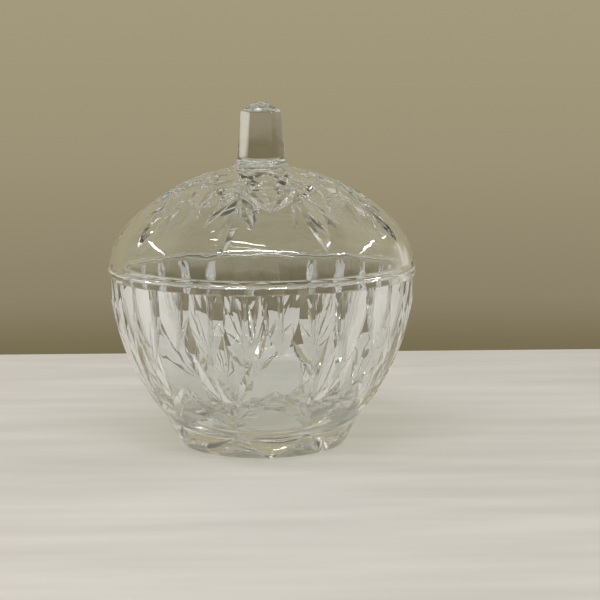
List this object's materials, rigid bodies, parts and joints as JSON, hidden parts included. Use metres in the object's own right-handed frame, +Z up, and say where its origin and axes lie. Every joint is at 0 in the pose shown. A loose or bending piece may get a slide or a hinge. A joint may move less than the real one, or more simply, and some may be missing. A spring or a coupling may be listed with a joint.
{
  "type": "powder jar",
  "caption": "Round covered powder jar in clear pressed crystal, with a cut pattern of fans and flutes and a domed lift-off lid with a faceted knob.",
  "frame": {"origin": "centre of the foot's underside, on the table", "axes": "+Z up along the jar's axis, -Y towards the front, where one flat of the knob faces"},
  "size_m": [0.115, 0.115, 0.1275],
  "materials": {
    "bowl_crystal": "clear pressed crystal, fire polished",
    "lid_crystal": "clear pressed crystal, fire polished"
  },
  "bodies": {
    "bowl": {"bowl": "bowl_crystal"},
    "lid": {"lid": "lid_crystal"}
  },
  "joints": [
    {"name": "lid_lift", "type": "slide", "parent": "bowl", "child": "lid", "axis": [0, 0, 1], "range_m": [0, 0.08]}
  ]
}
